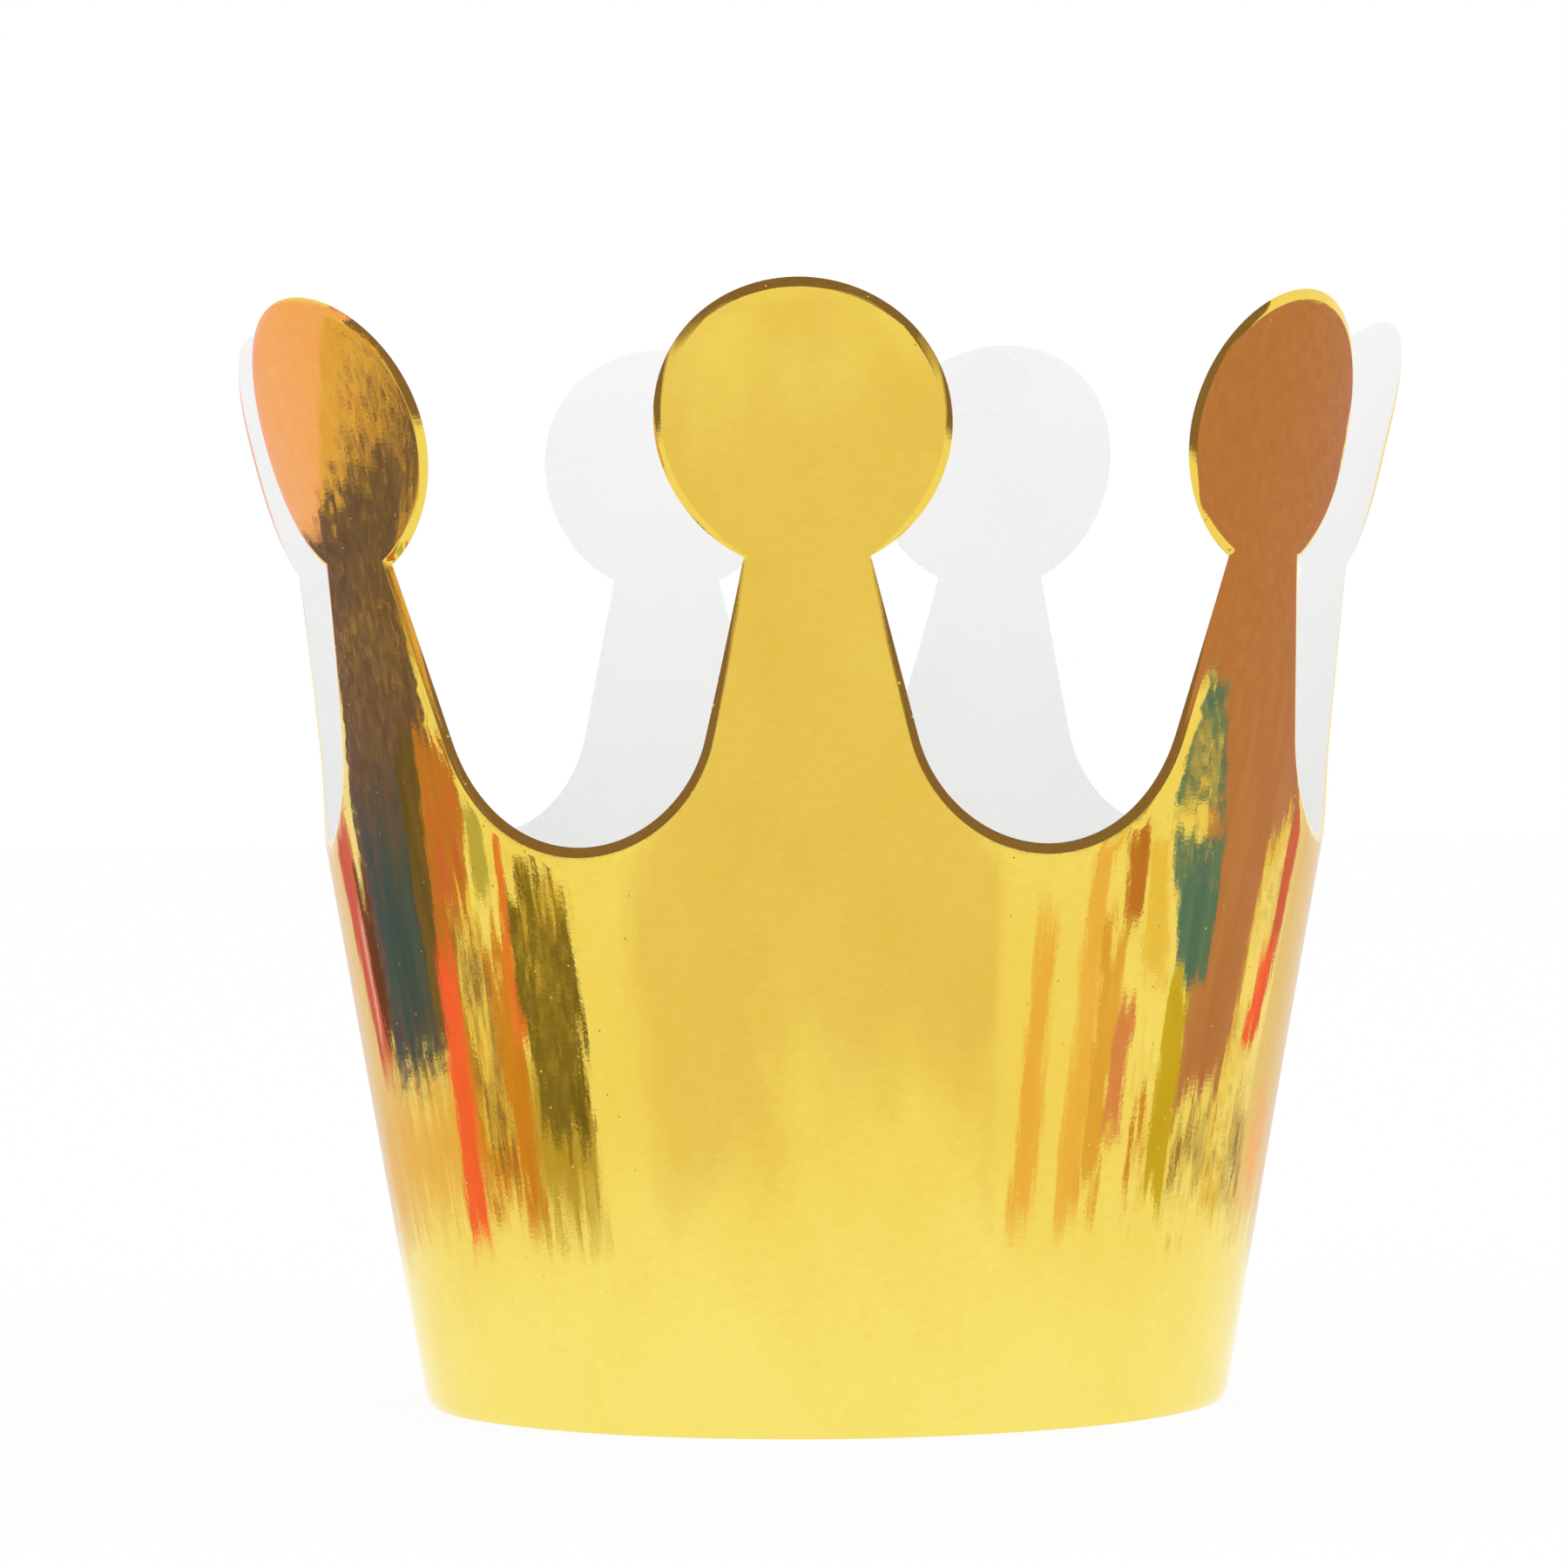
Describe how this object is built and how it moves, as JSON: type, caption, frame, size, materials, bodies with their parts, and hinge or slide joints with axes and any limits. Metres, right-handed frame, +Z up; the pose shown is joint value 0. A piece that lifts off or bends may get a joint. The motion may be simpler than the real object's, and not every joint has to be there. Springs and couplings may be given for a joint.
{
  "type": "paper crown",
  "caption": "Small party crown: a flaring ring of mirror-gold foil card, cut into points that end in round discs, pale card inside.",
  "frame": {"origin": "centre of the ring at its bottom edge", "axes": "+Z up along the ring's axis, the front point faces -Y, and the glued lap is at +Y"},
  "size_m": [0.1278, 0.1291, 0.1152],
  "materials": {
    "foil_card": "mirror-gold foil laminated on the outside, plain pale card inside"
  },
  "bodies": {
    "root": {"crown": "foil_card"}
  },
  "joints": []
}
